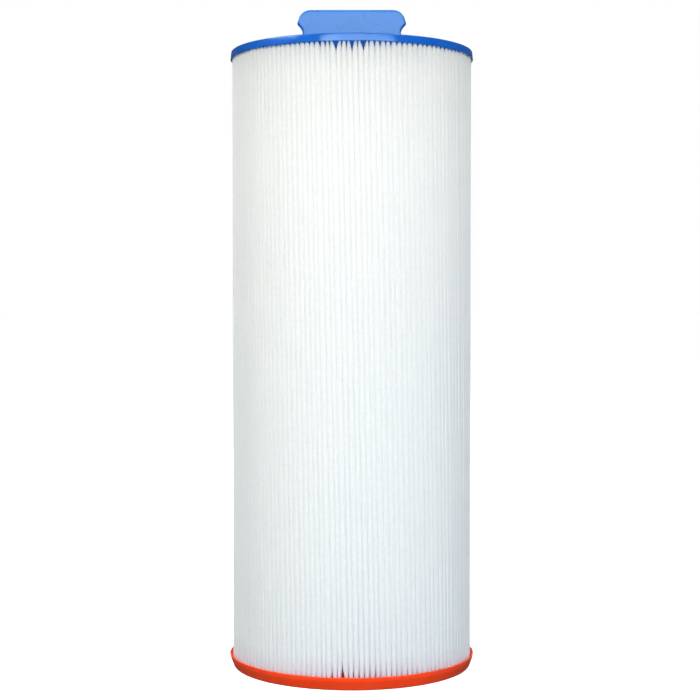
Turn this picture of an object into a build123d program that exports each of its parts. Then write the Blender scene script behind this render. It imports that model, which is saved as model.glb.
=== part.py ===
from build123d import *
import math
import os

# A spa filter cartridge: a ring of pleated filter cloth around a perforated core, cast into a
# closed top cap with a lifting tab and an open bottom cap. Millimetres. The origin is the
# centre of the underside, +Z runs up the axis and the tab's wide face looks along -Y.

# Driving dimensions of the whole cartridge
BODY_HEIGHT = 385.6          # underside of the bottom cap to the rim of the top cap
MEDIA_OUTER_R = 75.2         # tips of the folds
MEDIA_INNER_R = 32.0         # roots of the folds
PLEAT_COUNT = 124
CLOTH = 0.5                  # thickness of the filter cloth
FIT_GAP = 0.1                # radial clearance of parts that push together

# Top cap, cast polyurethane. Drops are measured down from its rim.
TOP_FACE_R = 75.7
TOP_LIP_R = 76.2
TOP_LIP_DROP = 4.9
TOP_BED_DROP = 3.4
TOP_FIELD_R = 66.0           # the shallow sunk field inside the rim
FIELD_DEPTH = 0.8
LIP_WALL = 0.8
EDGE_ROUND = 0.6

# Bottom cap, cast polyurethane: a dish that the folds stand in
BASE_FACE_R = 74.4
BASE_LIP_R = 77.3
BASE_LIP_HEIGHT = 8.3
BASE_BED_HEIGHT = 5.0
BASE_EDGE_ROUND = 1.6
BASE_FIELD_R = (42.0, 66.0)  # the sunk ring between the seat around the hole and the rim

# Core: snap-together modules with windows
CORE_MODULES = 5
CORE_OUTER_R = 31.5
CORE_INNER_R = 28.9
SPIGOT_R = 30.1
SPIGOT_HEIGHT = 6.0
SNAP_RISE = 0.25             # height of the snap bead on each spigot
SNAP_REACH = 0.8             # half the bead's width along the axis
WINDOWS_AROUND = 12
WINDOW_ROWS = 3
WINDOW_WIDTH = 9.5
WINDOW_ROUND = 2.0
WINDOW_FIRST = 11.0          # from the foot of a module to the lowest window
WINDOW_LAST = 6.0            # from the highest window to the module's shoulder
WINDOW_RIB = 6.0

# Base adapter: the rigid collar that a 54 mm standpipe enters
BORE_R = 27.0
ADAPTER_NOSE_R = 29.2
ADAPTER_FLANGE_R = 31.8
ADAPTER_FLANGE = 2.0
ADAPTER_HEIGHT = 24.0
LEAD_IN = 0.8

# Top plug: closes the core and holds a well of cast urethane
PLUG_WELL_R = 27.0
PLUG_WELL_DEPTH = 11.7
PLUG_WALL = 1.7
PLUG_HEIGHT = 8.0

# Lifting tab
TAB_RISE = 26.8              # above the cap's rim
TAB_THICKNESS = 9.5
TAB_FLAT_HALF = 25.4         # half the straight top edge
TAB_CORNER_R = 8.4
TAB_WAIST_HALF = 30.9
TAB_WAIST_RISE = 12.6
TAB_FOOT_HALF = 36.0
TAB_EDGE_ROUND = 1.6
TAB_SET_IN = 1.6             # depth of the tab's broad foot in the cap
STEM_HALF = 20.0
ANCHOR_HALF = 22.0
ANCHOR_DEPTH = 18.0
ANCHOR_PLATE = 2.5
ANCHOR_COVER = 1.5           # urethane left under the anchor plate
KEY_HOLE_R = 3.0
KEY_HOLE_OFFSET = 11.0

# Heights that follow from the dimensions above
TOP_BED_Z = BODY_HEIGHT - TOP_BED_DROP
TOP_FIELD_Z = BODY_HEIGHT - FIELD_DEPTH
WELL_FLOOR_Z = TOP_BED_Z - PLUG_WELL_DEPTH
MEDIA_HEIGHT = TOP_BED_Z - BASE_BED_HEIGHT
CORE_HEIGHT = TOP_BED_Z - PLUG_HEIGHT - BASE_BED_HEIGHT
MODULE_HEIGHT = CORE_HEIGHT / CORE_MODULES
SOCKET_R = SPIGOT_R + FIT_GAP
SOCKET_DEPTH = SPIGOT_HEIGHT + 2 * FIT_GAP

# Folds of the cloth: radii of the middle of the cloth where it turns
TIP_TURN_R = 0.95
ROOT_TURN_R = 0.42
SEAM_DEPTH = 8.0             # radial depth of the bead that joins the ends of the cloth


def turned(*outline):
    """A solid of revolution about Z, from (radius, height) points."""
    corners = [(radius, 0, height) for radius, height in outline]
    return revolve(make_face(Polyline(*corners, close=True)), Axis.Z)


def edges_at(solid, radius, height):
    """The full circles of a turned solid at one radius and height."""
    circles = solid.edges().filter_by(GeomType.CIRCLE)
    return [
        edge for edge in circles
        if abs(edge.radius - radius) < 0.01 and abs(edge.arc_center.Z - height) < 0.01
    ]


def spigot_side(foot_z):
    """The outer side of a spigot with its snap bead, upwards."""
    bead_z = foot_z + SPIGOT_HEIGHT / 2
    return [
        (SPIGOT_R, foot_z),
        (SPIGOT_R, bead_z - SNAP_REACH),
        (SPIGOT_R + SNAP_RISE, bead_z),
        (SPIGOT_R, bead_z + SNAP_REACH),
        (SPIGOT_R, foot_z + SPIGOT_HEIGHT),
    ]


def socket_side(foot_z):
    """The inner side of a socket with the groove for the bead, downwards."""
    bead_z = foot_z + SPIGOT_HEIGHT / 2
    return [
        (SOCKET_R, foot_z + SOCKET_DEPTH),
        (SOCKET_R, bead_z + SNAP_REACH),
        (SOCKET_R + SNAP_RISE, bead_z),
        (SOCKET_R, bead_z - SNAP_REACH),
        (SOCKET_R, foot_z),
    ]


# ---------------------------------------------------------------- the core
def module_windows(foot_z):
    """The cutters for one module's windows; each goes through both sides of the tube."""
    ribs = (WINDOW_ROWS - 1) * WINDOW_RIB
    height = (MODULE_HEIGHT - WINDOW_FIRST - WINDOW_LAST - ribs) / WINDOW_ROWS
    shape = RectangleRounded(WINDOW_WIDTH, height, WINDOW_ROUND)
    bar = extrude(Plane.XZ * shape, CORE_OUTER_R + 1, both=True)
    step = 360 / WINDOWS_AROUND
    cutters = []
    for row in range(WINDOW_ROWS):
        middle_z = foot_z + WINDOW_FIRST + height / 2 + row * (height + WINDOW_RIB)
        for turn in range(WINDOWS_AROUND // 2):
            cutters.append(Pos(0, 0, middle_z) * Rot(0, 0, turn * step) * bar)
    return cutters


def core_module(index):
    """One module: a windowed tube, a socket in its foot and a spigot on its shoulder."""
    foot_z = BASE_BED_HEIGHT + index * MODULE_HEIGHT
    shoulder_z = foot_z + MODULE_HEIGHT
    tube = turned(
        (CORE_OUTER_R, foot_z),
        (CORE_OUTER_R, shoulder_z),
        *spigot_side(shoulder_z),
        (CORE_INNER_R, shoulder_z + SPIGOT_HEIGHT),
        (CORE_INNER_R, foot_z + SOCKET_DEPTH),
        *socket_side(foot_z),
    )
    return tube - module_windows(foot_z)


def core_base_adapter():
    """The collar in the bottom cap: its bore takes the standpipe, its spigot the core."""
    flange_z = BASE_BED_HEIGHT - ADAPTER_FLANGE
    sleeve_r = CORE_INNER_R - 2 * FIT_GAP
    return turned(
        (BORE_R + LEAD_IN, 0),
        (ADAPTER_NOSE_R, 0),
        (ADAPTER_NOSE_R, flange_z),
        (ADAPTER_FLANGE_R, flange_z),
        (ADAPTER_FLANGE_R, BASE_BED_HEIGHT),
        *spigot_side(BASE_BED_HEIGHT),
        (sleeve_r, BASE_BED_HEIGHT + SPIGOT_HEIGHT),
        (sleeve_r, ADAPTER_HEIGHT),
        (BORE_R, ADAPTER_HEIGHT),
        (BORE_R, LEAD_IN),
    )


def core_top_plug():
    """The closed end of the core: a ring over the last spigot and a well inside it."""
    foot_z = TOP_BED_Z - PLUG_HEIGHT
    well_outer_r = PLUG_WELL_R + PLUG_WALL
    well_foot_z = WELL_FLOOR_Z - PLUG_WALL
    return turned(
        (PLUG_WELL_R, TOP_BED_Z),
        (CORE_OUTER_R, TOP_BED_Z),
        (CORE_OUTER_R, foot_z),
        *reversed(socket_side(foot_z)),
        (well_outer_r, foot_z + SOCKET_DEPTH),
        (well_outer_r, well_foot_z),
        (0, well_foot_z),
        (0, WELL_FLOOR_Z),
        (PLUG_WELL_R, WELL_FLOOR_Z),
    )


# ---------------------------------------------------------------- the pleated cloth
def polar(centre, radius, angle):
    """The point at a distance and direction, in radians, from a centre."""
    return centre + Vector(math.cos(angle), math.sin(angle)) * radius


class Fold:
    """One fold's tip, its root and the straight leg between them, as plane geometry."""

    def __init__(self, index):
        pitch = 2 * math.pi / PLEAT_COUNT
        self.tip_angle = math.pi / 2 + index * pitch
        self.root_angle = self.tip_angle + pitch / 2
        tip_r = MEDIA_OUTER_R - TIP_TURN_R - CLOTH / 2
        root_r = MEDIA_INNER_R + ROOT_TURN_R + CLOTH / 2
        self.tip = polar(Vector(), tip_r, self.tip_angle)
        self.root = polar(Vector(), root_r, self.root_angle)
        span = self.root - self.tip
        lean = math.acos((TIP_TURN_R + ROOT_TURN_R) / span.length)
        self.leg_angle = math.atan2(span.Y, span.X) - lean

    def tip_points(self, side):
        """Start, middle and end of the turn round the tip, on one face of the cloth."""
        radius = TIP_TURN_R + side
        start_angle = 2 * self.tip_angle - self.leg_angle
        angles = (start_angle, self.tip_angle, self.leg_angle)
        return [polar(self.tip, radius, angle) for angle in angles]

    def root_points(self, side):
        """Start, middle and end of the turn round the root, on one face of the cloth."""
        radius = ROOT_TURN_R - side
        end_angle = 2 * self.root_angle - self.leg_angle
        angles = (self.leg_angle, self.root_angle, end_angle)
        return [polar(self.root, radius, angle + math.pi) for angle in angles]


def cloth_face_edges(folds, side):
    """The zigzag line of one face of the cloth, from one end of the strip to the other."""
    edges = []
    at = folds[0].tip_points(side)[2]
    for here, after in zip(folds, folds[1:] + folds[:1]):
        root = here.root_points(side)
        tip = after.tip_points(side)
        edges += [Edge.make_line(at, root[0]), Edge.make_three_point_arc(*root)]
        edges.append(Edge.make_line(root[2], tip[0]))
        if after is not folds[0]:
            edges.append(Edge.make_three_point_arc(*tip))
        at = tip[2]
    return edges


def standing(edges):
    """The solid between the two caps whose plan is the given closed outline."""
    plan = Face(Wire(edges))
    return Pos(0, 0, BASE_BED_HEIGHT) * extrude(plan, MEDIA_HEIGHT, dir=(0, 0, 1))


def pleated_media():
    """The whole folded strip, open only where its two ends meet at the back."""
    folds = [Fold(index) for index in range(PLEAT_COUNT)]
    outer = cloth_face_edges(folds, CLOTH / 2)
    inner = cloth_face_edges(folds, -CLOTH / 2)
    first_end = Edge.make_line(outer[0] @ 0, inner[0] @ 0)
    last_end = Edge.make_line(outer[-1] @ 1, inner[-1] @ 1)
    return standing(outer + inner + [first_end, last_end])


def media_seam():
    """The bead that fills the space between the strip's two ends."""
    fold = Fold(0)
    start, _, end = fold.tip_points(-CLOTH / 2)
    inward = (fold.root_points(-CLOTH / 2)[0] - end).normalized() * SEAM_DEPTH
    mirrored = inward.rotate(Axis.Z, 2 * (90 - math.degrees(math.atan2(inward.Y, inward.X))))
    return standing(Wire.make_polygon([start, end, end + inward, start + mirrored]).edges())


# ---------------------------------------------------------------- the lifting tab
def tab_outline():
    """Half the tab's face, from the middle of its top edge to its foot in the cap."""
    top_z = BODY_HEIGHT + TAB_RISE
    foot_z = TOP_FIELD_Z - TAB_SET_IN
    corner = (TAB_FLAT_HALF, top_z - TAB_CORNER_R)
    widest = (corner[0] + TAB_CORNER_R, corner[1])
    diagonal = TAB_CORNER_R * math.sqrt(0.5)
    waist = (TAB_WAIST_HALF, BODY_HEIGHT + TAB_WAIST_RISE)
    top = Line((0, top_z), (TAB_FLAT_HALF, top_z))
    shoulder = ThreePointArc(
        (TAB_FLAT_HALF, top_z), (corner[0] + diagonal, corner[1] + diagonal), widest
    )
    notch = Spline(
        widest, waist, (TAB_FOOT_HALF, TOP_FIELD_Z), tangents=[(-0.45, -1), (0.8, -1)]
    )
    foot_side = Line((TAB_FOOT_HALF, TOP_FIELD_Z), (TAB_FOOT_HALF, foot_z))
    foot = Line((TAB_FOOT_HALF, foot_z), (0, foot_z))
    axis = Line((0, foot_z), (0, top_z))
    return make_face([top, shoulder, notch, foot_side, foot, axis])


def lift_handle():
    """The tab, its stem through the cap and the anchor plate cast into the well."""
    half_face = tab_outline()
    face = Plane.XZ * (half_face + mirror(half_face, Plane.YZ))
    tab = extrude(face, TAB_THICKNESS / 2, both=True)
    rounded = [
        edge for edge in tab.edges()
        if edge.center().Z > TOP_FIELD_Z + 1 and abs(abs(edge.center().Y) - TAB_THICKNESS / 2) < 0.01
    ]
    tab = fillet(rounded, TAB_EDGE_ROUND)
    plate_z = WELL_FLOOR_Z + ANCHOR_COVER
    stem_height = TOP_FIELD_Z - TAB_SET_IN - plate_z
    stem = Pos(0, 0, plate_z + stem_height / 2) * Box(2 * STEM_HALF, TAB_THICKNESS, stem_height)
    plate = Pos(0, 0, plate_z + ANCHOR_PLATE / 2) * Box(
        2 * ANCHOR_HALF, ANCHOR_DEPTH, ANCHOR_PLATE
    )
    hole_z = (plate_z + ANCHOR_PLATE + TOP_FIELD_Z - TAB_SET_IN) / 2
    key_hole = Rot(90, 0, 0) * Cylinder(KEY_HOLE_R, ANCHOR_DEPTH)
    holes = [Pos(side * KEY_HOLE_OFFSET, 0, hole_z) * key_hole for side in (-1, 1)]
    return tab + stem + plate - holes


# ---------------------------------------------------------------- the cast caps
def top_end_cap(handle):
    """The closed cap: rim, sunk field, bed for the folds and the urethane in the plug's well."""
    lip_z = BODY_HEIGHT - TOP_LIP_DROP
    cap = turned(
        (0, TOP_FIELD_Z),
        (TOP_FIELD_R, TOP_FIELD_Z),
        (TOP_FIELD_R + FIELD_DEPTH, BODY_HEIGHT),
        (TOP_FACE_R, BODY_HEIGHT),
        (TOP_LIP_R, lip_z),
        (TOP_LIP_R - LIP_WALL, lip_z),
        (MEDIA_OUTER_R + FIT_GAP, TOP_BED_Z),
        (PLUG_WELL_R, TOP_BED_Z),
        (PLUG_WELL_R, WELL_FLOOR_Z),
        (0, WELL_FLOOR_Z),
    )
    cap = fillet(edges_at(cap, TOP_FACE_R, BODY_HEIGHT), EDGE_ROUND)
    return cap - handle


def bottom_end_cap():
    """The open cap: a flared dish with a stepped hole for the adapter."""
    flange_z = BASE_BED_HEIGHT - ADAPTER_FLANGE
    field_in, field_out = BASE_FIELD_R
    cap = turned(
        (ADAPTER_NOSE_R, 0),
        (field_in, 0),
        (field_in + FIELD_DEPTH, FIELD_DEPTH),
        (field_out - FIELD_DEPTH, FIELD_DEPTH),
        (field_out, 0),
        (BASE_FACE_R, 0),
        (BASE_LIP_R, BASE_LIP_HEIGHT),
        (BASE_LIP_R - LIP_WALL, BASE_LIP_HEIGHT),
        (MEDIA_OUTER_R + FIT_GAP, BASE_BED_HEIGHT),
        (ADAPTER_FLANGE_R, BASE_BED_HEIGHT),
        (ADAPTER_FLANGE_R, flange_z),
        (ADAPTER_NOSE_R, flange_z),
    )
    return fillet(edges_at(cap, BASE_FACE_R, 0), BASE_EDGE_ROUND)


def cartridge():
    """Every piece of the cartridge, by node name."""
    handle = lift_handle()
    pieces = {
        "top_end_cap": top_end_cap(handle),
        "lift_handle": handle,
        "core_top_plug": core_top_plug(),
        "core_base_adapter": core_base_adapter(),
        "pleated_media": pleated_media(),
        "media_seam": media_seam(),
        "bottom_end_cap": bottom_end_cap(),
    }
    for index in range(CORE_MODULES):
        pieces[f"core_section_{index + 1}"] = core_module(index)
    return pieces


os.makedirs("parts", exist_ok=True)
for node, piece in cartridge().items():
    export_step(piece, f"parts/{node}.step")
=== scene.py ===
import math

import bmesh
import bpy
import numpy as np
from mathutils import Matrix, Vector


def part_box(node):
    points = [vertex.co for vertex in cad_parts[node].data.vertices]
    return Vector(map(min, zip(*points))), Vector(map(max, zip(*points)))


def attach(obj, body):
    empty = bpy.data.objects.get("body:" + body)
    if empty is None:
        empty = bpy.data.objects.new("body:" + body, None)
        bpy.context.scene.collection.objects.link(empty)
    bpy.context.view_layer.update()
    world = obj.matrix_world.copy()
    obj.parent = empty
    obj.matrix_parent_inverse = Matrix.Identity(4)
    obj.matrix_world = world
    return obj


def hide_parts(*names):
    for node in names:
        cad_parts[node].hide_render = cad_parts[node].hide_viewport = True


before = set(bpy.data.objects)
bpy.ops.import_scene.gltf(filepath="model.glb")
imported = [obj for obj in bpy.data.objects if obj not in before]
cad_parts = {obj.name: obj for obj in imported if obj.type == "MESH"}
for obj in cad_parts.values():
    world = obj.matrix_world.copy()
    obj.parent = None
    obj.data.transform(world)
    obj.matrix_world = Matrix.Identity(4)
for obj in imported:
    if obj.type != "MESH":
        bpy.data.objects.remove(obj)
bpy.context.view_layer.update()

MM = 0.001
BODY = "root"
rng = np.random.default_rng(11)

# ---------------------------------------------------------------- sizes read from the frame
media_low, media_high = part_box("pleated_media")
top_low, top_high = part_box("top_end_cap")
_, base_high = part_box("bottom_end_cap")
_, tab_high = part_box("lift_handle")

MEDIA_R = media_high.x
MEDIA_BOTTOM = media_low.z
MEDIA_TOP = media_high.z
MEDIA_HEIGHT = MEDIA_TOP - MEDIA_BOTTOM
TOP_LIP_R = top_high.x
TOP_Z = top_high.z
BASE_LIP_R = base_high.x
BASE_LIP_Z = base_high.z
TAB_TOP_Z = tab_high.z
TAB_FOOT_HALF = tab_high.x
AXIS_HOLE = 0.4 * MM         # pinhole that the lathe leaves in the blue cap, under the tab

# ---------------------------------------------------------------- sizes of the details
PLEATS = 124
ROOT_R = 32.0 * MM
CLOTH = 0.5 * MM
TWIST = 0.10                 # radians that the pack turns from the top cap to the bottom one
FRONT = -math.pi / 2         # the direction of the tab's wide face that the camera sees
BACK = math.pi / 2

TOP_FACE_R = 75.7 * MM
TOP_LIP_DROP = 4.9 * MM
TOP_FIELD_R = 66.0 * MM
FIELD_DEPTH = 0.8 * MM
WELL_R = 27.0 * MM
BASE_FACE_R = 74.4 * MM
BASE_FIELD = (42.0 * MM, 66.0 * MM)
HOLE_R = 29.2 * MM
FLANGE_R = 31.8 * MM
FLANGE_Z = 3.0 * MM
LIP_WALL = 0.85 * MM
POTTING_CLIMB = 3.6 * MM     # how far the cast urethane creeps along the folds past the top lip
BASE_CLIMB = 3.3 * MM        # and up from the floor of the bottom cap

TOP_LINE = TOP_Z - TOP_LIP_DROP      # the folds come into sight below the blue lip here
BASE_LINE = BASE_LIP_Z - 0.5 * MM    # and above the red lip here
CREASE_TOP = 0.35 * MM       # depths in the folds from which the painted crease shade and the urethane's stain show
CREASE_FLOOR = 1.8 * MM
# The cloth's painted shade and stain near the caps: the height where each is strongest, how far it
# fades (up when negative), the wash over the whole cloth and the colour in the creases. The first
# two are a broad faint grey, painted shade of the light falling off towards the caps, with painted
# shade in their creases. The last two are a painted contact shadow with a blue bounce under the
# blue lip and a painted lilac bounce above the red cap, with painted shade in their creases, over a
# narrow stain of the urethane that seeped in.
CAP_SHADE_AND_STAIN = (
    (TOP_LINE, 80 * MM, (0.87, 0.87, 0.87), (0.58, 0.60, 0.62)),
    (BASE_LINE, -80 * MM, (0.92, 0.925, 0.94), (0.60, 0.62, 0.66)),
    (TOP_LINE, 20 * MM, (0.84, 0.86, 0.88), (0.28, 0.40, 0.56)),
    (BASE_LINE, -15 * MM, (0.84, 0.74, 0.82), (0.46, 0.32, 0.48)),
)
TINT_FALLOFF = 1.8           # power by which each tint weakens away from its cap

TAB_THICKNESS = 9.5 * MM
TAB_FLAT_HALF = 25.4 * MM
TAB_SHOULDER_HALF = 33.3 * MM
TAB_SHOULDER_DROP = 5.8 * MM
TAB_WIDEST_HALF = 34.1 * MM
TAB_WIDEST_DROP = 8.4 * MM
TAB_WAIST_HALF = 30.9 * MM
TAB_WAIST_Z = TOP_Z + 12.6 * MM
TAB_EDGE = 1.5 * MM
TAB_FLARE = 1.6 * MM         # fillet between the tab and the cap's field


# ---------------------------------------------------------------- mesh helpers
ARC_STEPS = 5                # steps in a rounded corner of a lathed outline
LATHE_STEPS = 384            # steps round a lathed cap


def mesh_piece(name, points, faces, material):
    """A smooth mesh object in the row frame that rides on the one body."""
    mesh = bpy.data.meshes.new(name)
    mesh.from_pydata([tuple(p) for p in points], [], [tuple(f) for f in faces])
    mesh.validate()
    solid = bmesh.new()
    solid.from_mesh(mesh)
    bmesh.ops.recalc_face_normals(solid, faces=solid.faces)
    solid.to_mesh(mesh)
    solid.free()
    mesh.polygons.foreach_set("use_smooth", [True] * len(mesh.polygons))
    mesh.materials.append(material)
    piece = bpy.data.objects.new(name, mesh)
    bpy.context.scene.collection.objects.link(piece)
    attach(piece, BODY)
    return piece


def smoothstep(low, high, value):
    t = np.clip((value - low) / (high - low), 0, 1)
    return t * t * (3 - 2 * t)


def rounded(corners):
    """A plane outline whose (a, b, radius) corners are turned into arcs where radius is over 0."""
    out = []
    count = len(corners)
    for i, (a, b, radius) in enumerate(corners):
        here = np.array([a, b])
        if radius <= 0:
            out.append(here)
            continue
        before = np.array(corners[i - 1][:2]) - here
        after = np.array(corners[(i + 1) % count][:2]) - here
        before /= np.linalg.norm(before)
        after /= np.linalg.norm(after)
        half = math.acos(np.clip(before @ after, -1, 1)) / 2
        bisector = (before + after) / np.linalg.norm(before + after)
        centre = here + bisector * radius / math.sin(half)
        start = here + before * radius / math.tan(half) - centre
        end = here + after * radius / math.tan(half) - centre
        turn = math.pi - 2 * half
        for step in range(ARC_STEPS + 1):
            t = step / ARC_STEPS
            share = (math.sin((1 - t) * turn) * start + math.sin(t * turn) * end) / math.sin(turn)
            out.append(centre + share)
    return out


def lathe(profile, ripple):
    """Points and faces of a closed ring swept from a closed (radius, height) profile.
    ripple(angles, radii, heights) moves the points a little and returns new radii and heights."""
    outline = np.array(profile)
    angles = np.arange(LATHE_STEPS) * 2 * math.pi / LATHE_STEPS
    radii = np.repeat(outline[:, 0][None, :], LATHE_STEPS, 0)
    heights = np.repeat(outline[:, 1][None, :], LATHE_STEPS, 0)
    radii, heights = ripple(angles[:, None], radii, heights)
    x = radii * np.cos(angles)[:, None]
    y = radii * np.sin(angles)[:, None]
    points = np.stack([x, y, heights], 2).reshape(-1, 3)
    count = len(outline)
    i = np.arange(LATHE_STEPS)[:, None]
    j = np.arange(count)[None, :]
    a = i * count + j
    b = (i + 1) % LATHE_STEPS * count + j
    c = (i + 1) % LATHE_STEPS * count + (j + 1) % count
    d = i * count + (j + 1) % count
    faces = np.stack([a, b, c, d], 2).reshape(-1, 4)
    return points, faces


def waves(rows, columns, strength, most_turns, number):
    """Smooth seeded unevenness over a grid that closes on itself along its rows."""
    total = np.zeros((rows, columns))
    u = np.arange(rows)[:, None] / rows * 2 * math.pi
    v = np.linspace(0, 1, columns)[None, :]
    for _ in range(number):
        turns = rng.integers(1, most_turns)
        lift = rng.uniform(0.3, 3.0)
        phase, rise = rng.uniform(0, 2 * math.pi, 2)
        total += np.sin(turns * u + phase) * np.cos(lift * math.pi * v + rise)
    return total * strength / math.sqrt(number)


# ---------------------------------------------------------------- node helpers
def new_material(name):
    material = bpy.data.materials.new(name)
    material.use_nodes = True
    tree = material.node_tree
    tree.nodes.clear()
    output = tree.nodes.new("ShaderNodeOutputMaterial")
    shader = tree.nodes.new("ShaderNodeBsdfPrincipled")
    tree.links.new(shader.outputs[0], output.inputs["Surface"])
    return material, tree, shader


def feed(tree, socket, value):
    """Links a socket, or sets its value; a colour may have three numbers."""
    if isinstance(value, bpy.types.NodeSocket):
        tree.links.new(value, socket)
    elif socket.type == "RGBA":
        socket.default_value = (*value, 1)
    else:
        socket.default_value = value


def add(tree, kind, settings=None, **inputs):
    """A node with its settings; an input is a value or another node's output socket."""
    node = tree.nodes.new(kind)
    for key, value in (settings or {}).items():
        setattr(node, key, value)
    for key, value in inputs.items():
        feed(tree, node.inputs[key.replace("_", " ")], value)
    return node


def ramp(tree, value, stops):
    """A colour ramp over a value socket; stops are (position, colour) pairs."""
    stops = list(stops)
    node = tree.nodes.new("ShaderNodeValToRGB")
    tree.links.new(value, node.inputs[0])
    elements = node.color_ramp.elements
    while len(elements) < len(stops):
        elements.new(0.5)
    for element, (position, colour) in zip(elements, stops):
        element.position = position
        element.color = (*colour, 1)
    return node.outputs["Color"]


def mix(tree, factor, first, second, blend="MIX"):
    """The second colour over the first one by a factor, or blended with it in another way."""
    node = tree.nodes.new("ShaderNodeMix")
    node.data_type = "RGBA"
    node.blend_type = blend
    feed(tree, node.inputs[0], factor)
    feed(tree, node.inputs[6], first)
    feed(tree, node.inputs[7], second)
    return node.outputs[2]


def calc(tree, operation, first, second):
    """A sum done by a Math node."""
    node = tree.nodes.new("ShaderNodeMath")
    node.operation = operation
    feed(tree, node.inputs[0], first)
    feed(tree, node.inputs[1], second)
    return node.outputs[0]


# ---------------------------------------------------------------- materials
def cap_shade_and_stain(tree, web):
    """Cloth near a cap is darkened and tinted: painted shade of the light falling off towards the
    caps, a painted contact shadow and blue bounce under the blue lip, a painted lilac bounce above
    the red cap and painted shade in the creases, over a stain of the urethane that seeped in.
    """
    place = add(tree, "ShaderNodeTexCoord").outputs["Object"]
    height = add(tree, "ShaderNodeSeparateXYZ", Vector=place).outputs["Z"]
    level = add(tree, "ShaderNodeMapping", Vector=place, Scale=(1, 1, 0)).outputs[0]
    length = add(tree, "ShaderNodeVectorMath", {"operation": "LENGTH"}, Vector=level)
    radius = length.outputs["Value"]
    crease = add(
        tree, "ShaderNodeMapRange", Value=radius,
        From_Min=MEDIA_R - CREASE_FLOOR, From_Max=MEDIA_R - CREASE_TOP, To_Min=1.0, To_Max=0.0,
    ).outputs[0]
    for line, reach, wash, crease_shade_and_stain in CAP_SHADE_AND_STAIN:
        near = add(
            tree, "ShaderNodeMapRange", Value=height,
            From_Min=line - reach, From_Max=line, To_Min=0.0, To_Max=1.0,
        ).outputs[0]
        near = calc(tree, "POWER", near, TINT_FALLOFF)
        # painted shade and bounce near the caps, over the urethane's stain
        web = mix(tree, near, web, mix(tree, 1.0, web, wash, "MULTIPLY"))
        # painted shade in the creases, over the urethane's stain
        web = mix(tree, calc(tree, "MULTIPLY", near, crease), web, crease_shade_and_stain)
    return web


WEB_SHADES = ((0.680, 0.674, 0.641), (0.715, 0.708, 0.673))
BROAD_SHADES = ((0.97, 0.985, 1.0), (1.0, 1.0, 0.985))
BROAD_SHARE = 0.5            # how much of the broad tint is laid over the web
FIBRE_WHITE = (0.83, 0.825, 0.785)
FIBRE_SHARE = 0.35           # how far the filaments stand out from the web
FIBRE_SETS = ((0.3, 1.0), (1.35, 4.0), (2.3, 8.0))     # the direction and seed of each set
WEB_RELIEF = 0.8             # height of the web beside that of the filaments


def cloth_material():
    """Spunbond polyester: a felted web of fine crossing filaments, with faint thick and thin."""
    material, tree, shader = new_material("spunbond_cloth")
    place = add(tree, "ShaderNodeTexCoord").outputs["UV"]
    fibres = None
    for turn, seed in FIBRE_SETS:
        turned = add(
            tree, "ShaderNodeMapping", Vector=place, Rotation=(0, 0, turn), Location=(seed, seed, 0)
        )
        streak = add(
            tree, "ShaderNodeMapping", Vector=turned.outputs[0], Scale=(260.0, 5200.0, 1.0)
        )
        noise = add(
            tree, "ShaderNodeTexNoise", {"noise_dimensions": "2D"},
            Vector=streak.outputs[0], Scale=1.0, Detail=1.0, Roughness=0.5,
        )
        fine = add(
            tree, "ShaderNodeMapRange", Value=noise.outputs[0],
            From_Min=0.5, From_Max=0.72, To_Min=0.0, To_Max=1.0,
        ).outputs[0]
        fibres = fine if fibres is None else calc(tree, "MAXIMUM", fibres, fine)
    cloud = add(
        tree, "ShaderNodeTexNoise", {"noise_dimensions": "2D"},
        Vector=place, Scale=420.0, Detail=3.0, Roughness=0.6,
    )
    broad = add(
        tree, "ShaderNodeTexNoise", {"noise_dimensions": "2D"},
        Vector=place, Scale=26.0, Detail=2.0, Roughness=0.5,
    )
    web = ramp(tree, cloud.outputs[0], zip((0.3, 0.7), WEB_SHADES))
    tint = ramp(tree, broad.outputs[0], zip((0.35, 0.65), BROAD_SHADES))
    web = mix(tree, BROAD_SHARE, web, tint, "MULTIPLY")
    web = mix(tree, calc(tree, "MULTIPLY", fibres, FIBRE_SHARE), web, FIBRE_WHITE)
    # painted shade and bounce near the caps and in the creases, over the urethane's stain
    web = cap_shade_and_stain(tree, web)
    tree.links.new(web, shader.inputs["Base Color"])
    height = calc(tree, "ADD", fibres, calc(tree, "MULTIPLY", cloud.outputs[0], WEB_RELIEF))
    bump = add(tree, "ShaderNodeBump", Height=height, Strength=0.25, Distance=0.00012)
    tree.links.new(bump.outputs[0], shader.inputs["Normal"])
    shader.inputs["Roughness"].default_value = 0.85
    shader.inputs["Specular IOR Level"].default_value = 0.2
    shader.inputs["Sheen Weight"].default_value = 0.6
    shader.inputs["Sheen Roughness"].default_value = 0.5
    shader.inputs["Subsurface Weight"].default_value = 0.35
    shader.inputs["Subsurface Radius"].default_value = (1.0, 0.95, 0.9)
    shader.inputs["Subsurface Scale"].default_value = 0.0022
    return material


URETHANE_SCATTER = 0.08
SKIN_RELIEF = 0.4            # height of the satin skin beside that of the pin bubbles


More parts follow.
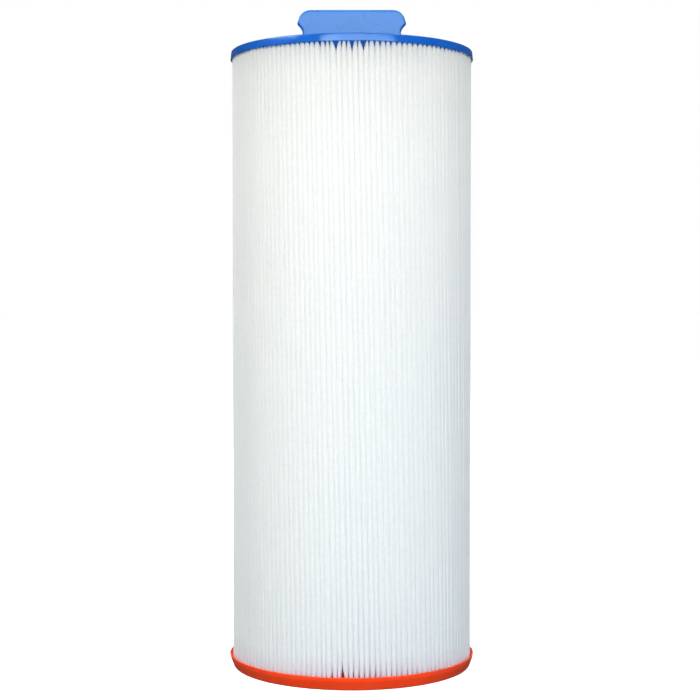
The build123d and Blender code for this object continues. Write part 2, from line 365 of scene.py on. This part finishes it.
def urethane_material(name, colours, rough, shine, tint):
    """Cast polyurethane: even colour with faint flow marks, pin bubbles and a satin skin. The
    three colours go from dark to light, and rough is the least and the greatest roughness."""
    material, tree, shader = new_material(name)
    place = add(tree, "ShaderNodeTexCoord").outputs["Object"]
    flow = add(
        tree, "ShaderNodeTexNoise", Vector=place, Scale=55.0, Detail=4.0, Roughness=0.55,
        Distortion=0.8,
    )
    shade = ramp(tree, flow.outputs[0], zip((0.3, 0.5, 0.72), colours))
    speck = add(
        tree, "ShaderNodeTexVoronoi", {"feature": "F1"}, Vector=place, Scale=420.0, Randomness=1.0,
    )
    pits = add(
        tree, "ShaderNodeMapRange", Value=speck.outputs["Distance"],
        From_Min=0.05, From_Max=0.16, To_Min=0.0, To_Max=1.0,
    ).outputs[0]
    skin = add(tree, "ShaderNodeTexNoise", Vector=place, Scale=900.0, Detail=2.0, Roughness=0.5)
    # the pin bubbles take the darkest colour: painted shade in the pits
    pits_darkened = mix(tree, calc(tree, "SUBTRACT", 1.0, pits), shade, colours[0])
    tree.links.new(pits_darkened, shader.inputs["Base Color"])
    roughness = add(
        tree, "ShaderNodeMapRange", Value=flow.outputs[0],
        From_Min=0.3, From_Max=0.7, To_Min=rough[0], To_Max=rough[1],
    ).outputs[0]
    tree.links.new(roughness, shader.inputs["Roughness"])
    height = calc(tree, "ADD", calc(tree, "MULTIPLY", skin.outputs[0], SKIN_RELIEF), pits)
    bump = add(tree, "ShaderNodeBump", Height=height, Strength=0.2, Distance=0.00015)
    tree.links.new(bump.outputs[0], shader.inputs["Normal"])
    shader.inputs["Specular IOR Level"].default_value = shine
    shader.inputs["Specular Tint"].default_value = (*tint, 1)
    shader.inputs["Subsurface Weight"].default_value = URETHANE_SCATTER
    shader.inputs["Subsurface Radius"].default_value = (1.0, 1.0, 1.0)
    shader.inputs["Subsurface Scale"].default_value = 0.0015
    return material


def moulded_material():
    """White moulded ABS of the core: fine moulding grain and a few flow lines."""
    material, tree, shader = new_material("moulded_core")
    place = add(tree, "ShaderNodeTexCoord").outputs["Object"]
    grain = add(tree, "ShaderNodeTexNoise", Vector=place, Scale=1200.0, Detail=2.0, Roughness=0.6)
    flow = add(tree, "ShaderNodeTexNoise", Vector=place, Scale=30.0, Detail=2.0, Roughness=0.5)
    shade = ramp(tree, flow.outputs[0], [(0.35, (0.76, 0.77, 0.76)), (0.65, (0.83, 0.84, 0.83))])
    tree.links.new(shade, shader.inputs["Base Color"])
    bump = add(tree, "ShaderNodeBump", Height=grain.outputs[0], Strength=0.15, Distance=0.0001)
    tree.links.new(bump.outputs[0], shader.inputs["Normal"])
    shader.inputs["Roughness"].default_value = 0.42
    return material


def bead_material():
    """Hot-melt bead: milky and glossier than the cloth."""
    material, tree, shader = new_material("hot_melt_bead")
    place = add(tree, "ShaderNodeTexCoord").outputs["Object"]
    lumps = add(tree, "ShaderNodeTexNoise", Vector=place, Scale=240.0, Detail=2.0, Roughness=0.5)
    shade = ramp(tree, lumps.outputs[0], [(0.3, (0.80, 0.79, 0.72)), (0.7, (0.88, 0.87, 0.82))])
    tree.links.new(shade, shader.inputs["Base Color"])
    bump = add(tree, "ShaderNodeBump", Height=lumps.outputs[0], Strength=0.3, Distance=0.0003)
    tree.links.new(bump.outputs[0], shader.inputs["Normal"])
    shader.inputs["Roughness"].default_value = 0.35
    shader.inputs["Subsurface Weight"].default_value = 0.2
    shader.inputs["Subsurface Scale"].default_value = 0.001
    return material


CLOTH_WHITE = cloth_material()
CAP_BLUE = urethane_material(
    "blue_urethane", ((0.004, 0.079, 0.39), (0.005, 0.090, 0.43), (0.0075, 0.104, 0.47)),
    rough=(0.12, 0.17), shine=0.8, tint=(0.58, 0.92, 0.97),
)
# The tab is the cap's blue urethane painted lighter: a painted highlight of the front light's broad
# reflection in its flat face.
TAB_BLUE_PAINTED_HIGHLIGHT = urethane_material(
    "tab_urethane", ((0.012, 0.120, 0.425), (0.0155, 0.137, 0.458), (0.023, 0.158, 0.492)),
    rough=(0.22, 0.32), shine=0.6, tint=(0.70, 0.92, 1.0),
)
CAP_RED = urethane_material(
    "red_urethane", ((0.94, 0.050, 0.008), (0.98, 0.060, 0.010), (0.99, 0.072, 0.014)),
    rough=(0.26, 0.38), shine=0.45, tint=(1.0, 0.72, 0.55),
)
CORE_WHITE = moulded_material()
BEAD = bead_material()


# ---------------------------------------------------------------- the pleated cloth
TIP_SHARES = (0.0, 0.40, 0.70, 0.90, 1.0)    # points across half of a fold's outer face
GROOVE = 0.20 * MM           # depth of the groove where two folds lean on each other
GROOVE_POWER = 2.4           # flat on top of the fold, steeper into the groove
CREASE_HALF = 0.5 * MM       # half width of a fold pinched flat: its two layers of cloth
CREASE_DEPTH = 0.6 * MM      # how round the tip of a pinched fold is
LEG_DEPTH = 9.0 * MM         # depth at which the legs of the folds hang evenly again
TOP_FADE = 11.0 * MM         # how far from the top cap the grooves settle
BASE_FADE = 28.0 * MM        # and from the bottom cap
PUSH_REACH = 6.5 * MM        # how far from a cap a wide gap pushes its neighbours apart
# The few gaps that stand wide open at the front: where (radians to the right of the front), how
# far open (1 is fully), how tall, and how far they push their neighbours apart
WIDE_TOP_GAPS = (
    (-0.115, 1.0, 8.0 * MM, 0.70 * MM),
    (-0.005, 0.90, 9.0 * MM, 0.50 * MM),
    (0.105, 1.0, 8.0 * MM, 0.75 * MM),
)
WIDE_BASE_GAPS = (
    (-0.17, 0.55, 6.0 * MM, 0.1 * MM),
    (-0.08, 0.85, 12.0 * MM, 0.35 * MM),
    (0.17, 0.50, 10.0 * MM, 0.1 * MM),
)
# How deep the grooves are, as shares of GROOVE: everywhere, less towards the right, more at the
# front within an angle in radians, and more at the back
SLACK, SLACK_RIGHT, SLACK_FRONT, SLACK_SPREAD, SLACK_BACK = 0.52, 0.12, 1.7, 0.55, 0.6
BACK_FROM = (1.3, 2.0)       # radians from the front between which the back's grooves set in
GROOVE_SPREAD = (0.8, 0.4)   # the least share of a groove's depth, and what chance adds
REST_GAP = (0.015 * MM, 0.03 * MM)      # the same for the hairline between two leaning folds
TOP_FRONT = (-0.42, -0.2)    # radians from the front between which its more open gaps set in
TOP_MIDDLE, TOP_MIDDLE_SPREAD = -0.10, 0.28
BASE_FRONT = (-0.35, -0.12)
# The narrow gaps, as how far open they are and how tall: at least, at the front, in the middle of
# the front, and at random
TOP_OPEN = (0.30, 0.22, 0.26, 0.22)
TOP_TALL = (2.4 * MM, 1.6 * MM, 2.8 * MM, 1.8 * MM)
BASE_OPEN = (0.11, 0.15, 0.16)          # at least, at the front, and at random
BASE_TALL = (3.0 * MM, 3.5 * MM, 5.0 * MM)
MOST_PINCH = 1.2             # share at which a gap's opening stops growing inside a cap
TOP_DEEPER, BASE_DEEPER = 1.3, 1.6      # how much deeper the grooves are at each cap
CROWDING = 0.10              # radians by which the folds crowd to one side of the ring
CROWDING_TWICE = 0.03        # and to two sides
JITTER = 0.055               # random unevenness of their packing, as a share of a fold
SWAY = 0.14 * MM             # how far the folds wander sideways
UNEVEN_FOLD = 0.12 * MM      # how far whole folds are set back at random
UNEVEN_WAVE = 0.06 * MM      # and how far parts of them are
TIP_SET_BACK = 0.05 * MM
END_ROWS = np.array([0.0, 0.5, 1.1, 1.9, 2.9, 4.2, 5.8, 7.8, 10.5, 14.5, 21.0, 32.0]) * MM
MIDDLE_ROWS = 5


def media_rows():
    """Heights of the rows of points, close together near the caps."""
    low = BASE_LINE + END_ROWS
    high = TOP_LINE - END_ROWS[::-1]
    middle = np.linspace(low[-1], high[0], MIDDLE_ROWS + 2)[1:-1]
    return np.concatenate([[MEDIA_BOTTOM], low, middle, high, [MEDIA_TOP]])


def gap_angles():
    """Directions of the gaps between folds: folds are not quite evenly packed."""
    even = BACK + (np.arange(PLEATS) + 0.5) * 2 * math.pi / PLEATS
    crowding = -CROWDING * np.cos(even) + CROWDING_TWICE * np.sin(2 * even + 0.7)
    jitter = rng.normal(0, JITTER, PLEATS) * 2 * math.pi / PLEATS
    return even + crowding + jitter


class Gaps:
    """How far the gap between each two folds stands open, and how it closes away from the caps.
    at_top and at_base are each gap's radians to the right of the front."""

    def __init__(self, angles):
        at_top = np.arctan2(np.sin(angles - FRONT), np.cos(angles - FRONT))
        at_base = at_top + TWIST
        slack = SLACK - SLACK_RIGHT * np.sin(at_top)
        slack += SLACK_FRONT * np.exp(-((at_top / SLACK_SPREAD) ** 2))
        slack += SLACK_BACK * smoothstep(*BACK_FROM, abs(at_top))
        spread = rng.random((4, PLEATS))
        self.groove = GROOVE * slack * (GROOVE_SPREAD[0] + GROOVE_SPREAD[1] * spread[0])
        self.rest = REST_GAP[0] + REST_GAP[1] * spread[1] ** 2
        front_top = smoothstep(*TOP_FRONT, at_top)
        middle_top = np.exp(-(((at_top - TOP_MIDDLE) / TOP_MIDDLE_SPREAD) ** 2))
        least, front, middle, random = TOP_OPEN
        self.top = least + front * front_top + middle * middle_top + random * (spread[2] - 0.5)
        least, front, middle, random = TOP_TALL
        self.top_reach = least + front * front_top + middle * middle_top + random * spread[3]
        front_base = smoothstep(*BASE_FRONT, at_base)
        spread = rng.random((2, PLEATS))
        least, front, random = BASE_OPEN
        self.base = least + front * front_base + random * (spread[0] - 0.3)
        least, front, random = BASE_TALL
        self.base_reach = least + front * front_base + random * spread[1] * front_base
        self.top_push = np.zeros(PLEATS)
        self.base_push = np.zeros(PLEATS)
        top = (at_top, self.top, self.top_reach, self.top_push)
        base = (at_base, self.base, self.base_reach, self.base_push)
        for wide_gaps, (at, opening, tall, apart) in (WIDE_TOP_GAPS, top), (WIDE_BASE_GAPS, base):
            for place, share, reach, push in wide_gaps:
                k = np.argmin(abs(at - place))
                opening[k], tall[k], apart[k] = share, reach, push

    def pinch(self, z):
        """0 where folds lean on each other, up to 1 where they are pinched flat."""
        top = 1 - (TOP_LINE - z) / self.top_reach[:, None]
        base = 1 - (z - BASE_LINE) / self.base_reach[:, None]
        top = self.top[:, None] * np.clip(top, 0, MOST_PINCH) ** 2
        base = self.base[:, None] * np.clip(base, 0, MOST_PINCH) ** 2
        return np.clip(np.maximum(top, base), 0, 1)

    def push(self, z):
        """How far a wide gap pushes the folds beside it apart."""
        top = self.top_push[:, None] * np.exp(-(((TOP_LINE - z) / PUSH_REACH) ** 2))
        base = self.base_push[:, None] * np.exp(-(((z - BASE_LINE) / PUSH_REACH) ** 2))
        return top + base

    def groove_depth(self, z):
        """The groove between two folds, deeper towards the caps."""
        near = TOP_DEEPER * np.exp((z - TOP_LINE) / TOP_FADE)
        near += BASE_DEEPER * np.exp((BASE_LINE - z) / BASE_FADE)
        return self.groove[:, None] * (1 + near)


def leg_half(radius):
    """Half width of a fold where its legs hang evenly spaced."""
    return math.pi * radius / PLEATS / 2 + CLOTH / 2


def fold_side(tip_radius, reach, groove, pinch):
    """Radii and half widths down one side of every fold, from its tip to its root."""
    radii, halves = [], []
    for share in TIP_SHARES:
        leaning = groove * share ** GROOVE_POWER
        pinched = CREASE_DEPTH * share ** 2
        radii.append(tip_radius - leaning * (1 - pinch) - pinched * pinch)
        halves.append(share * (reach * (1 - pinch) + CREASE_HALF * pinch))
    leg = tip_radius - LEG_DEPTH
    root = np.full_like(tip_radius, ROOT_R + CLOTH)
    radii += [leg, root]
    halves += [leg_half(leg), leg_half(root)]
    return np.stack(radii, 2), np.stack(halves, 2)


def media_sections():
    """The rows' heights, the angle of each fold's middle at each row, and the radii and half
    widths down both sides of each fold."""
    z = media_rows()
    rows = len(z)
    angles = gap_angles()
    gaps = Gaps(angles)
    sway = waves(PLEATS, rows, SWAY, most_turns=40, number=26) / MEDIA_R
    turn = TWIST * (MEDIA_TOP - z) / MEDIA_HEIGHT
    after = angles[:, None] + sway + turn[None, :]
    before = np.roll(after, 1, 0)
    before[0] -= 2 * math.pi
    push = gaps.push(z[None, :])
    middle = (after + before) / 2 + (np.roll(push, 1, 0) - push) / MEDIA_R
    uneven = UNEVEN_FOLD * rng.random((PLEATS, 1))
    uneven = uneven + abs(waves(PLEATS, rows, UNEVEN_WAVE, most_turns=30, number=12))
    tip = MEDIA_R - TIP_SET_BACK - uneven
    pinch = gaps.pinch(z[None, :])
    groove = gaps.groove_depth(z[None, :])
    sides = []
    for edge, back in ((before, 1), (after, 0)):
        reach = abs(edge - middle) * MEDIA_R - np.roll(gaps.rest, back)[:, None]
        sides.append(fold_side(tip, reach, np.roll(groove, back, 0), np.roll(pinch, back, 0)))
    return z, middle, sides


def cloth_face(middle, sides, inset):
    """One face of the cloth as an (along the strip, up) grid of angles and radii."""
    columns = []
    (before_r, before_w), (after_r, after_w) = sides
    count = before_r.shape[2]
    order = [(before_r, before_w, -1, j) for j in range(count - 1, 0, -1)]
    order += [(after_r, after_w, 1, j) for j in range(count)]
    for radii, widths, sign, j in order:
        width = np.maximum(widths[:, :, j] - inset, 0.01 * MM * j)
        radius = radii[:, :, j] - inset * (1.0 if j < len(TIP_SHARES) or j == count - 1 else 0.0)
        columns.append((middle + sign * width / radius, radius))
    angle = np.stack([c[0] for c in columns], 1)
    radius = np.stack([c[1] for c in columns], 1)
    strip = angle.shape[0] * angle.shape[1]
    return angle.reshape(strip, -1), radius.reshape(strip, -1)


def pleated_media():
    """The whole folded strip as one closed sheet, open along the seam at the back."""
    z, middle, sides = media_sections()
    points = []
    for inset in (0.0, CLOTH):
        angle, radius = cloth_face(middle, sides, inset)
        x, y = radius * np.cos(angle), radius * np.sin(angle)
        height = np.repeat(z[None, :], len(angle), 0)
        points.append(np.stack([x, y, height], 2))
    strip, rows = points[0].shape[:2]
    points = np.concatenate([p.reshape(-1, 3) for p in points])
    index = np.arange(2 * strip * rows).reshape(2, strip, rows)
    outer, inner = index
    quads = []
    for face, flip in ((outer, False), (inner, True)):
        q = np.stack([face[:-1, :-1], face[1:, :-1], face[1:, 1:], face[:-1, 1:]], 2).reshape(-1, 4)
        quads.append(q[:, ::-1] if flip else q)
    for a, b in ((outer[:, 0], inner[:, 0]), (inner[:, -1], outer[:, -1]),
                 (outer[-1], inner[-1]), (inner[0], outer[0])):
        quads.append(np.stack([a[:-1], b[:-1], b[1:], a[1:]], 1))
    piece = mesh_piece("pleated_cloth", points, np.concatenate(quads), CLOTH_WHITE)
    unroll(piece, points, strip, rows)
    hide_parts("pleated_media")
    return piece


def unroll(piece, points, strip, rows):
    """UV coordinates in metres: along the strip, and up it."""
    grid = points.reshape(2, strip, rows, 3)[0]
    steps = np.linalg.norm(np.diff(grid[:, rows // 2], axis=0), axis=1)
    along = np.concatenate([[0.0], np.cumsum(steps)])
    u = np.tile(np.repeat(along, rows), 2)
    layer = piece.data.uv_layers.new(name="strip")
    corner = np.zeros(len(piece.data.loops), int)
    piece.data.loops.foreach_get("vertex_index", corner)
    uv = np.stack([u[corner], points[corner, 2]], 1)
    layer.data.foreach_set("uv", uv.ravel())


# ---------------------------------------------------------------- the cast caps
def unevenness(strength, number):
    """A seeded smooth function of direction, for edges that were cast and trimmed."""
    terms = [(rng.integers(2, 14), rng.uniform(0, 2 * math.pi)) for _ in range(number)]

    def value(angles):
        total = sum(np.sin(turns * angles + phase) for turns, phase in terms)
        return total * strength / math.sqrt(number)
    return value


def top_cap():
    """The blue cap: sunk field, rounded rim, thin lip and the urethane crept along the folds."""
    lip_z = TOP_LINE
    field_z = TOP_Z - FIELD_DEPTH
    creep_z = lip_z - POTTING_CLIMB
    corners = [
        (AXIS_HOLE, field_z, 0),
        (20 * MM, field_z, 0),
        (45 * MM, field_z, 0),
        (TOP_FIELD_R, field_z, 0.5 * MM),
        (TOP_FIELD_R + FIELD_DEPTH, TOP_Z, 0.4 * MM),
        (TOP_FACE_R - 4 * MM, TOP_Z, 0),
        (TOP_FACE_R, TOP_Z, 0.7 * MM),
        (TOP_LIP_R - 0.15 * MM, lip_z + 1.2 * MM, 0),
        (TOP_LIP_R, lip_z, 0.25 * MM),
        (TOP_LIP_R - LIP_WALL, lip_z + 0.1 * MM, 0.2 * MM),
        (MEDIA_R - 0.5 * MM, lip_z + 0.3 * MM, 0.3 * MM),
        (MEDIA_R - 2.2 * MM, lip_z - 1.9 * MM, 0),
        (MEDIA_R - 5.0 * MM, creep_z, 0),
        (MEDIA_R - 12.0 * MM, creep_z - 0.4 * MM, 0),
        (WELL_R, creep_z - 0.4 * MM, 0),
        (WELL_R, top_low.z, 0),
        (AXIS_HOLE, top_low.z, 0),
    ]
    edge = unevenness(strength=0.12 * MM, number=9)

    def ripple(angles, radii, heights):
        lip = smoothstep(lip_z + 2.5 * MM, lip_z, heights) * (radii > MEDIA_R - 1 * MM)
        return radii, heights + lip * edge(angles)

    points, faces = lathe(rounded(corners)[::-1], ripple)
    piece = mesh_piece("top_cap_casting", points, faces, CAP_BLUE)
    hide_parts("top_end_cap")


def bottom_cap():
    """The red cap: a flared dish with a thin lip, sunk field underneath and stepped hole."""
    corners = [
        (HOLE_R, 0, 0.3 * MM),
        (BASE_FIELD[0], 0, 0.3 * MM),
        (BASE_FIELD[0] + FIELD_DEPTH, FIELD_DEPTH, 0.3 * MM),
        (BASE_FIELD[1] - FIELD_DEPTH, FIELD_DEPTH, 0.3 * MM),
        (BASE_FIELD[1], 0, 0.3 * MM),
        (BASE_FACE_R, 0, 1.7 * MM),
        (BASE_LIP_R - 0.6 * MM, BASE_LIP_Z - 2.6 * MM, 3.0 * MM),
        (BASE_LIP_R, BASE_LIP_Z, 0.35 * MM),
        (BASE_LIP_R - LIP_WALL, BASE_LIP_Z, 0.3 * MM),
        (MEDIA_R + 0.4 * MM, MEDIA_BOTTOM + 0.5 * MM, 0.5 * MM),
        (MEDIA_R - 1.0 * MM, MEDIA_BOTTOM + 1.2 * MM, 0),
        (MEDIA_R - 3.0 * MM, MEDIA_BOTTOM + 0.8 * BASE_CLIMB, 0),
        (MEDIA_R - 7.0 * MM, MEDIA_BOTTOM + BASE_CLIMB, 0),
        (FLANGE_R, MEDIA_BOTTOM + BASE_CLIMB, 0),
        (FLANGE_R, FLANGE_Z, 0),
        (HOLE_R, FLANGE_Z, 0),
    ]
    lift = unevenness(strength=0.16 * MM, number=9)
    spread = unevenness(strength=0.10 * MM, number=9)

    def ripple(angles, radii, heights):
        lip = smoothstep(BASE_LIP_Z - 4 * MM, BASE_LIP_Z, heights) * (radii > MEDIA_R)
        return radii - lip * abs(spread(angles)), heights - lip * abs(lift(angles))

    points, faces = lathe(rounded(corners), ripple)
    piece = mesh_piece("bottom_cap_casting", points, faces, CAP_RED)
    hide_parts("bottom_end_cap")


# ---------------------------------------------------------------- the lifting tab
SHOULDER_STEPS = 12
EDGE_STEPS = 6               # steps round the tab's rounded edge
EDGE_CROWN = 0.8 * MM        # how far the rounding of the edge reaches onto the tab's faces


def curve(start, start_pull, end_pull, end, steps):
    """Points of a cubic from start to end, without the start."""
    a, b, c, d = (np.array(p) for p in (start, start_pull, end_pull, end))
    out = []
    for step in range(1, steps + 1):
        t = step / steps
        rest = 1 - t
        out.append(a * rest ** 3 + b * 3 * t * rest ** 2 + c * 3 * t * t * rest + d * t ** 3)
    return out


def tab_outline():
    """Right half of the tab's face, from the end of its flat top to its foot: (x, z) points, and
    the directions in which each of them faces."""
    top = (TAB_FLAT_HALF, TAB_TOP_Z)
    shoulder = (TAB_SHOULDER_HALF, TAB_TOP_Z - TAB_SHOULDER_DROP)
    widest = (TAB_WIDEST_HALF, TAB_TOP_Z - TAB_WIDEST_DROP)
    waist = (TAB_WAIST_HALF, TAB_WAIST_Z)
    foot = (TAB_FOOT_HALF, TOP_Z - FIELD_DEPTH)
    points = [np.array(top)]
    points += curve(
        top, (top[0] + 4.4 * MM, top[1]),
        (shoulder[0] - 0.6 * MM, shoulder[1] + 3.2 * MM), shoulder, SHOULDER_STEPS,
    )
    turns = [step / SHOULDER_STEPS * math.pi / 2 for step in range(SHOULDER_STEPS + 1)]
    facing = [(math.sin(turn), math.cos(turn)) for turn in turns]
    points += curve(
        shoulder, (shoulder[0] + 0.3 * MM, shoulder[1] - 1.2 * MM),
        (widest[0] + 0.1 * MM, widest[1] + 0.8 * MM), widest, 4,
    )
    points += curve(
        widest, (widest[0] - 1.3 * MM, widest[1] - 1.0 * MM),
        (waist[0], waist[1] + 2.4 * MM), waist, 8,
    )
    points += curve(
        waist, (waist[0] + 0.1 * MM, waist[1] - 4.5 * MM),
        (foot[0] - 1.6 * MM, foot[1] + 3.5 * MM), foot, 8,
    )
    points.append(np.array([TAB_FOOT_HALF, TOP_Z - 2 * FIELD_DEPTH]))
    facing += [(1.0, 0.0)] * (len(points) - len(facing))
    return np.array(points), np.array(facing)


def tab():
    """The tab: its outline carried through its thickness, with rounded edges and a flared foot."""
    half, facing = tab_outline()
    layers = [(TAB_THICKNESS / 2, TAB_EDGE + EDGE_CROWN)]
    for step in range(EDGE_STEPS + 1):
        angle = math.pi / 2 * (1 - step / EDGE_STEPS)
        y = TAB_THICKNESS / 2 - TAB_EDGE + TAB_EDGE * math.sin(angle)
        layers.append((y, TAB_EDGE * (1 - math.cos(angle))))
    layers += [(-y, inset) for y, inset in layers[::-1]]
    rise = np.clip((half[:, 1] - TOP_Z + FIELD_DEPTH) / TAB_FLARE, 0, 1)
    flare = TAB_FLARE * (1 - np.sqrt(1 - (1 - rise) ** 2))
    points, faces = [], []
    for y, inset in layers:
        right = half - facing * inset
        depth = y + math.copysign(1, y) * flare
        left = right * (-1, 1)
        ring = np.concatenate([left[::-1], right])
        depths = np.concatenate([depth[::-1], depth])
        points += [(x, d, z) for (x, z), d in zip(ring, depths)]
    count = 2 * len(half)
    for layer in range(len(layers) - 1):
        for i in range(count - 1):
            a, b = layer * count + i, (layer + 1) * count + i
            faces.append((a, a + 1, b + 1, b))
    last = (len(layers) - 1) * count
    for start in (0, last):
        for i in range(len(half) - 1):
            j = count - 1 - i
            faces.append((start + i, start + i + 1, start + j - 1, start + j))
    faces.append([layer * count for layer in range(len(layers))]
                 + [layer * count + count - 1 for layer in reversed(range(len(layers)))])
    # the tab's lighter blue is a painted highlight
    piece = mesh_piece("tab_moulding", points, faces, TAB_BLUE_PAINTED_HIGHLIGHT)
    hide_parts("lift_handle")


# ---------------------------------------------------------------- the seam and the core
BEAD_DEPTH = 3.2 * MM        # from the tips of the folds to the middle of the bead
BEAD_HALF = 3.0 * MM         # half of its section, inwards
BEAD_HALF_WIDTH = 0.45 * MM  # and sideways
BEAD_WAVE = 0.15             # share by which its width waves
BEAD_WAVE_LENGTH = 9 * MM    # height over which the wave turns by a radian
BEAD_CHANCE = 0.1            # share by which its width varies at random


def seam_bead():
    """A thin wavy bead in the fold at the back where the ends of the strip meet."""
    rows = 60
    around = 10
    z = np.linspace(MEDIA_BOTTOM + 1 * MM, MEDIA_TOP - 1 * MM, rows)
    turn = BACK + TWIST * (MEDIA_TOP - z) / MEDIA_HEIGHT
    swell = 1 + BEAD_WAVE * np.sin(z / BEAD_WAVE_LENGTH) + BEAD_CHANCE * rng.normal(0, 1, rows)
    points, faces = [], []
    for height, angle, size in zip(z, turn, swell):
        out = np.array([math.cos(angle), math.sin(angle)])
        side = np.array([-out[1], out[0]])
        for step in range(around):
            spin = 2 * math.pi * step / around
            inwards = MEDIA_R - BEAD_DEPTH + BEAD_HALF * math.cos(spin)
            sideways = BEAD_HALF_WIDTH * size * math.sin(spin)
            x, y = out * inwards + side * sideways
            points.append((x, y, height))
    for row in range(rows - 1):
        for step in range(around):
            a, b = row * around + step, row * around + (step + 1) % around
            faces.append((a, b, b + around, a + around))
    faces.append(tuple(range(around))[::-1])
    faces.append(tuple(range((rows - 1) * around, rows * around)))
    piece = mesh_piece("seam_bead", points, faces, BEAD)
    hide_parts("media_seam")


def finish_cad_nodes():
    """The moulded plastic pieces keep their CAD shapes and get the moulded material."""
    for name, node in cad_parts.items():
        if name.startswith("core_"):
            node.data.materials.clear()
            node.data.materials.append(CORE_WHITE)


# ---------------------------------------------------------------- the stage
FLOOR_GLOW = 0.90            # a white sweep, lit from within like a light table
FLOOR_HALF = 60.0
AMBIENT = 0.10               # how strong the pale studio is as light
AMBIENT_COLOUR = (0.75, 0.90, 1.0)
WHITE = (1.0, 1.0, 1.0)
LIGHT_AIM = (0, 0, 0.24)     # the point on the axis that the softboxes face
BOUNCE_AIM = (0, 0, 0.12)    # and the one that the coloured bounces from below face


def floor():
    """A pale floor without an edge in sight, which neither lights nor shades the part."""
    material, tree, shader = new_material("pale_floor")
    place = add(tree, "ShaderNodeTexCoord").outputs["Object"]
    cloud = add(tree, "ShaderNodeTexNoise", Vector=place, Scale=3.0, Detail=1.0)
    shade = ramp(tree, cloud.outputs[0], [(0.3, (0.90, 0.91, 0.92)), (0.7, (0.92, 0.93, 0.94))])
    tree.links.new(shade, shader.inputs["Base Color"])
    tree.links.new(shade, shader.inputs["Emission Color"])
    shader.inputs["Emission Strength"].default_value = FLOOR_GLOW
    shader.inputs["Roughness"].default_value = 0.9
    shader.inputs["Specular IOR Level"].default_value = 0.1
    mesh = bpy.data.meshes.new("floor")
    corners = [(x * FLOOR_HALF, y * FLOOR_HALF, 0) for x, y in ((-1, -1), (1, -1), (1, 1), (-1, 1))]
    mesh.from_pydata(corners, [], [(0, 1, 2, 3)])
    mesh.materials.append(material)
    plane = bpy.data.objects.new("floor", mesh)
    plane.visible_diffuse = False
    plane.visible_glossy = False
    plane.visible_shadow = False
    bpy.context.scene.collection.objects.link(plane)


def area_light(name, place, target, size, power, colour):
    data = bpy.data.lights.new(name, "AREA")
    data.shape = "RECTANGLE"
    data.size, data.size_y = size
    data.energy = power
    data.color = colour
    lamp = bpy.data.objects.new(name, data)
    lamp.location = place
    lamp.rotation_mode = "QUATERNION"
    lamp.rotation_quaternion = (Vector(target) - Vector(place)).to_track_quat("-Z", "Y")
    lamp.visible_camera = False
    bpy.context.scene.collection.objects.link(lamp)
    return lamp


def sun(name, direction, strength, spread, colour):
    data = bpy.data.lights.new(name, "SUN")
    data.energy = strength
    data.angle = spread
    data.color = colour
    lamp = bpy.data.objects.new(name, data)
    lamp.rotation_mode = "QUATERNION"
    lamp.rotation_quaternion = Vector(direction).to_track_quat("-Z", "Y")
    bpy.context.scene.collection.objects.link(lamp)


def studio_world():
    """An even pale studio: white where the camera looks past the object, softer as light."""
    world = bpy.data.worlds.new("studio")
    bpy.context.scene.world = world
    world.use_nodes = True
    tree = world.node_tree
    tree.nodes.clear()
    output = tree.nodes.new("ShaderNodeOutputWorld")
    seen = add(tree, "ShaderNodeBackground", Color=WHITE, Strength=1.0)
    light = add(tree, "ShaderNodeBackground", Color=AMBIENT_COLOUR, Strength=AMBIENT)
    path = tree.nodes.new("ShaderNodeLightPath")
    chosen = tree.nodes.new("ShaderNodeMixShader")
    tree.links.new(path.outputs["Is Camera Ray"], chosen.inputs[0])
    tree.links.new(light.outputs[0], chosen.inputs[1])
    tree.links.new(seen.outputs[0], chosen.inputs[2])
    tree.links.new(chosen.outputs[0], output.inputs["Surface"])


def softbox(name, turn, height, distance, size, power, colour, mirrored=True):
    """An area light that faces the part from a given direction round it, 0 being the front and 90
    the right. One that isn't mirrored lights the part without a reflection in its gloss."""
    angle = math.radians(turn)
    place = (distance * math.sin(angle), -distance * math.cos(angle), height)
    lamp = area_light(name, place, LIGHT_AIM, size, power, colour)
    lamp.visible_glossy = mirrored


def lights():
    """A near box of light in front, keys at the sides, a wash from behind, and the blue bounces
    that the photo's shadows have."""
    softbox("front", 5.5, 0.44, 0.95, (1.2, 0.84), 12.3, (1.0, 0.965, 0.93))
    softbox("window", -20, 1.05, 1.7, (0.45, 0.5), 1.0, (1.0, 0.97, 0.95))
    softbox("left_key", -72, 1.5, 1.3, (1.0, 1.0), 23.5, (1.0, 0.965, 0.88))
    softbox("right_key", 64, 1.7, 1.2, (1.0, 1.0), 15.0, (1.0, 0.955, 0.86))
    softbox("back_right", 176, 1.9, 1.6, (1.8, 1.5), 43, WHITE, mirrored=False)
    softbox("back_left", -166, 1.9, 1.6, (1.8, 1.5), 43, WHITE, mirrored=False)
    for name, x, power, colour in (
        ("left_bounce", -0.50, 1.1, (0.24, 0.60, 1.0)),
        ("right_bounce", 0.50, 1.5, (0.20, 0.57, 1.0)),
    ):
        area_light(name, (x, -0.52, -0.05), BOUNCE_AIM, (0.5, 0.5), power, colour)
    sun("overhead", (0.0, 0.02, -1.0), 0.45, 0.6, WHITE)
    studio_world()


CAMERA_LENS = 80.4
CAMERA_PLACE = (0.0, -0.9893, 0.2236)
CAMERA_DOWN = 1.43           # degrees that it looks down
CAMERA_TURN = 0.0011         # radians that it is turned to the left


def camera():
    data = bpy.data.cameras.new("camera")
    data.sensor_width = 36.0
    data.lens = CAMERA_LENS
    view = bpy.data.objects.new("camera", data)
    view.location = CAMERA_PLACE
    view.rotation_euler = (math.radians(90 - CAMERA_DOWN), 0.0, CAMERA_TURN)
    bpy.context.scene.collection.objects.link(view)
    bpy.context.scene.camera = view


camera()
media = pleated_media()
top_cap()
bottom_cap()
tab()
seam_bead()
finish_cad_nodes()
floor()
lights()
bpy.context.scene.view_settings.view_transform = "Standard"
